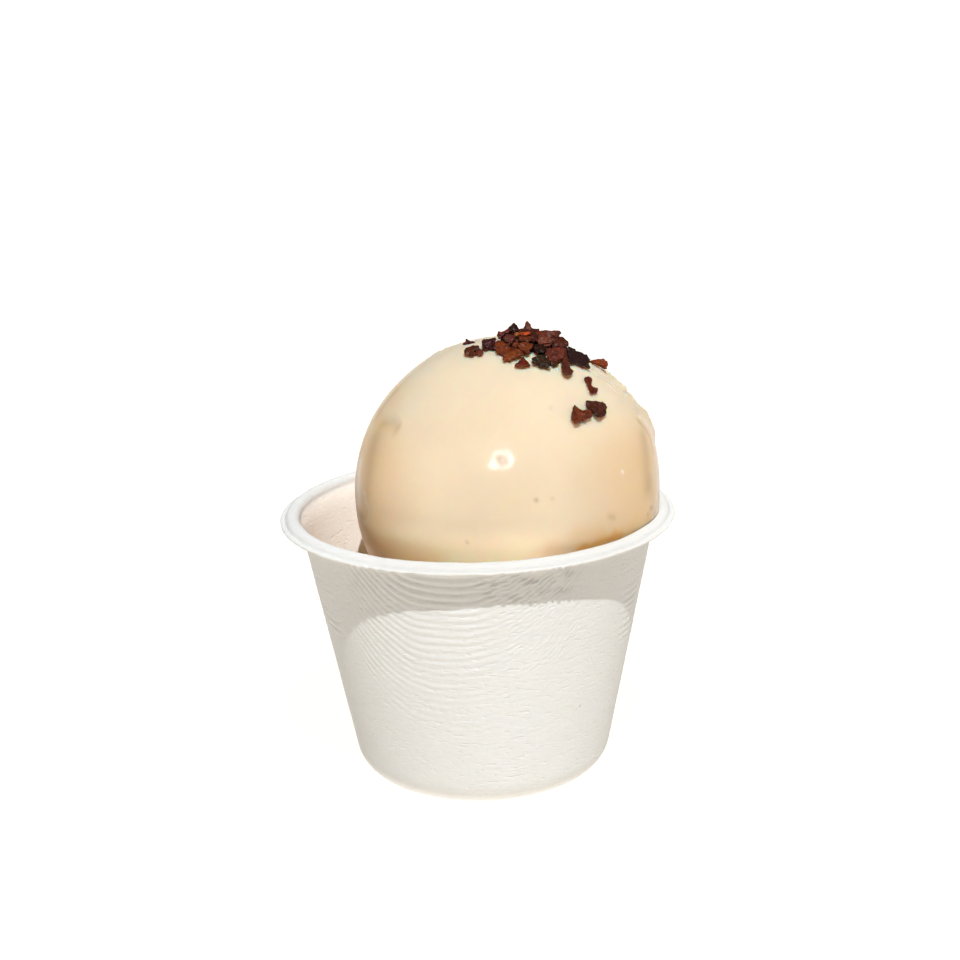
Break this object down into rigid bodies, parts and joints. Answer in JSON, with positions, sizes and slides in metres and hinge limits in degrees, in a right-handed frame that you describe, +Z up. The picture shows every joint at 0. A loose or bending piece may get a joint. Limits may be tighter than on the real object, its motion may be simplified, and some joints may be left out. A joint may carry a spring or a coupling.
{
  "type": "cup of sorbet",
  "caption": "Moulded pulp cup holding a large ball of pale sorbet that rises over its rim, topped with a small heap of cocoa nibs.",
  "frame": {"origin": "middle of the cup's flat base, on the cup's axis", "axes": "+Z up along the cup's axis; -Y is the front, where the ball comes nearest to the rim; +X is the side where the ball leans on the rim"},
  "size_m": [0.076, 0.076, 0.0893],
  "materials": {
    "pulp": "matte white moulded plant fibre with fine mesh ripples",
    "sorbet": "smooth wet cream-coloured sorbet, slightly translucent",
    "cocoa_nib": "broken roasted cocoa, red-brown to black, waxy on the broken faces"
  },
  "bodies": {
    "root": {"cup": "pulp", "sorbet": "sorbet", "nib_heap": "cocoa_nib", "nib_1": "cocoa_nib", "nib_2": "cocoa_nib", "nib_3": "cocoa_nib", "nib_4": "cocoa_nib", "nib_5": "cocoa_nib", "nib_6": "cocoa_nib", "nib_7": "cocoa_nib"}
  },
  "joints": []
}
